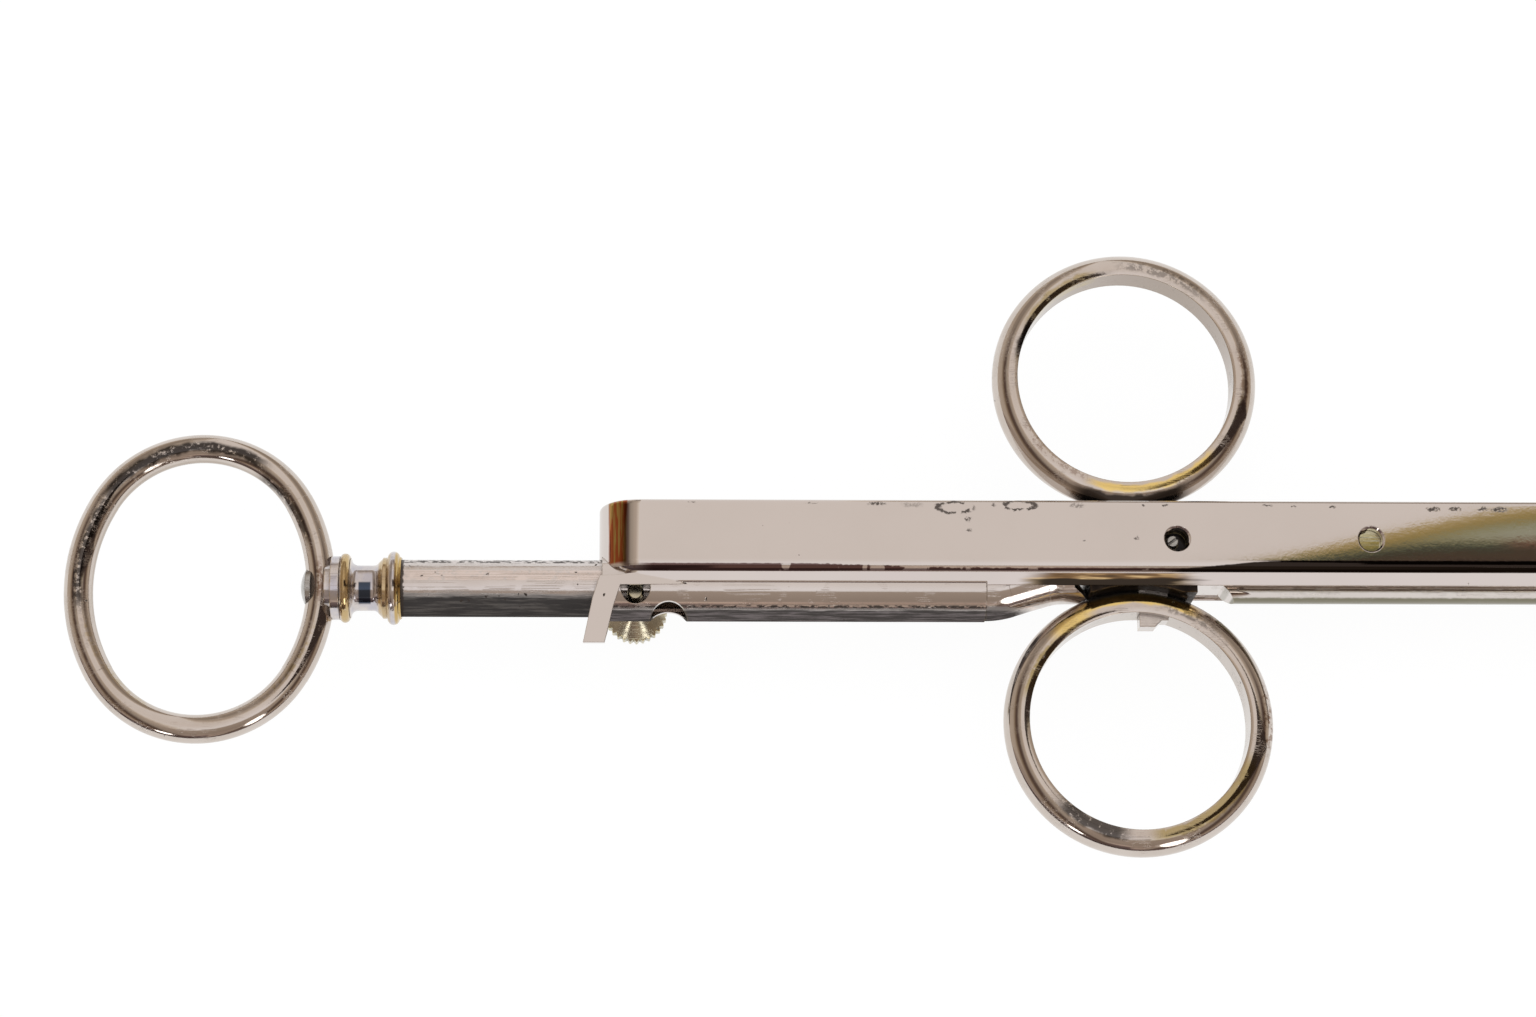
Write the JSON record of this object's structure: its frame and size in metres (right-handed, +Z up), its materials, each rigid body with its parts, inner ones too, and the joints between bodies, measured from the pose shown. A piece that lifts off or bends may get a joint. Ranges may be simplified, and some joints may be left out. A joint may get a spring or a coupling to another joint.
{
  "type": "tonsillotome",
  "caption": "Nickel-plated ring guillotine for tonsils: thumb ring on a turned stem, sliding channel bar with finger rings, ring knife between guard plates, and a sliding fork.",
  "frame": {"origin": "middle of the bounding box at its lowest point, with the instrument lying on its side", "axes": "+X from the thumb ring to the guard ring, +Y towards the upper finger ring, +Z up out of the surface"},
  "size_m": [0.2712, 0.0756, 0.0284],
  "materials": {
    "nickel": "polished nickel plate, lightly worn",
    "worn_nickel": "scratched and mottled nickel plate",
    "aged_brass": "brass showing through worn plating",
    "solder": "dark tarnished solder on brass",
    "steel": "dull steel",
    "blade": "ground steel"
  },
  "bodies": {
    "frame": {"thumb_ring": "nickel", "thumb_ring_rivet": "steel", "neck_baluster": "aged_brass", "stem": "worn_nickel", "guide_bar": "steel", "rail": "nickel", "stop_pin": "steel", "guard_lower": "nickel", "guard_upper": "nickel", "guard_rivets": "aged_brass", "guard_tang_rivets": "aged_brass", "keeper_rear": "nickel", "keeper_front": "nickel", "keeper_screws": "steel"},
    "carriage": {"slide_bar": "nickel", "sleeve": "worn_nickel", "sleeve_tip": "nickel", "screw_boss": "nickel", "ring_saddle_upper": "nickel", "ring_foot_lower": "solder", "finger_ring_upper": "nickel", "finger_ring_lower": "nickel", "upper_ring_rivet": "aged_brass", "lower_ring_rivet": "nickel", "ring_knife": "blade", "knife_screws": "steel"},
    "thumb_screw": {"thumb_screw": "aged_brass"},
    "fork_slide": {"fork_carrier": "steel", "fork_button": "nickel", "fork_pivot_pin": "steel"},
    "fork": {"fork": "blade"}
  },
  "joints": [
    {"name": "knife_stroke", "type": "slide", "parent": "frame", "child": "carriage", "axis": [-1, 0, 0], "range_m": [0, 0.023]},
    {"name": "thumb_screw_turn", "type": "hinge", "parent": "carriage", "child": "thumb_screw", "pos_m": [-0.0668, -0.00566, 0.0052], "axis": [0, 0, 1], "continuous": true},
    {"name": "fork_thrust", "type": "slide", "parent": "frame", "child": "fork_slide", "axis": [1, 0, 0], "range_m": [0, 0.017]},
    {"name": "fork_lift", "type": "hinge", "parent": "fork_slide", "child": "fork", "pos_m": [0.1004, -0.00761, 0.0142], "axis": [0, 0, 1], "range_deg": [-10, 0]}
  ]
}
